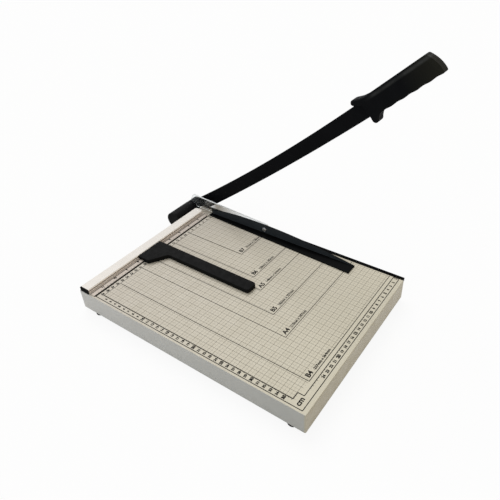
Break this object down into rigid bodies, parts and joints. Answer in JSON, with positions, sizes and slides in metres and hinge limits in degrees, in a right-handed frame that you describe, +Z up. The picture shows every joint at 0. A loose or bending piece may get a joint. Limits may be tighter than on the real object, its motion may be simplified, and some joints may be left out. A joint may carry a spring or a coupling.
{
  "type": "lever paper trimmer",
  "caption": "Lever paper trimmer: printed steel bed, rear fence with a sliding stop, hinged paper clamp with a clear guard, and a long sabre blade with a grip on a sprung pivot",
  "frame": {"origin": "On the table under the middle of the part's overall box with the arm at rest, level with the undersides of the feet", "axes": "+Z up, +X to the right towards the cutting edge, +Y away from the user towards the fence and the pivot"},
  "size_m": [0.3163, 0.4622, 0.3871],
  "materials": {
    "bed_paint": "satin cream paint with printed lines",
    "foot_rubber": "matte black rubber",
    "plated_steel": "bright zinc plating",
    "fence_white": "satin white extrusion",
    "black_plastic": "fine-grained black plastic",
    "black_steel": "satin black coated steel",
    "black_casting": "black paint on a casting",
    "bush_bronze": "plain bearing bronze",
    "pale_nylon": "natural nylon",
    "clear_plastic": "clear polished acrylic"
  },
  "bodies": {
    "bed": {"bed_tray": "bed_paint", "foot_rails": "bed_paint", "rubber_feet": "foot_rubber", "foot_screws": "plated_steel", "fence_rail": "fence_white", "fence_end_cap": "black_plastic", "fence_screws": "plated_steel", "fixed_blade": "black_steel", "fixed_blade_screws": "plated_steel", "pivot_barrel": "black_casting", "barrel_end_cap": "black_plastic", "barrel_bush": "bush_bronze", "barrel_screws": "plated_steel", "backing_plate": "plated_steel"},
    "arm": {"blade_arm": "black_steel", "arm_hub": "black_steel", "pivot_bolt": "plated_steel", "head_washer": "plated_steel", "pivot_spring": "plated_steel", "thrust_washer": "plated_steel", "lock_nut": "plated_steel", "grip_inner_half": "black_plastic", "grip_outer_half": "black_plastic", "grip_screws": "plated_steel"},
    "clamp": {"clamp_bar": "black_steel", "clamp_bush": "black_plastic", "clear_guard": "clear_plastic", "guard_screw": "plated_steel", "guard_nuts": "plated_steel"},
    "stop": {"paper_stop": "black_plastic", "stop_runner": "pale_nylon", "stop_screws": "plated_steel"}
  },
  "joints": [
    {"name": "arm_pivot", "type": "hinge", "parent": "bed", "child": "arm", "pos_m": [0.14815, 0.21538, 0.034], "axis": [-1, 0, 0], "range_deg": [-35.8, 41.7]},
    {"name": "clamp_lift", "type": "hinge", "parent": "bed", "child": "clamp", "pos_m": [0.13065, 0.21538, 0.034], "axis": [-1, 0, 0], "range_deg": [0, 12]},
    {"name": "stop_slide", "type": "slide", "parent": "bed", "child": "stop", "axis": [1, 0, 0], "range_m": [-0.1, 0.1]}
  ]
}
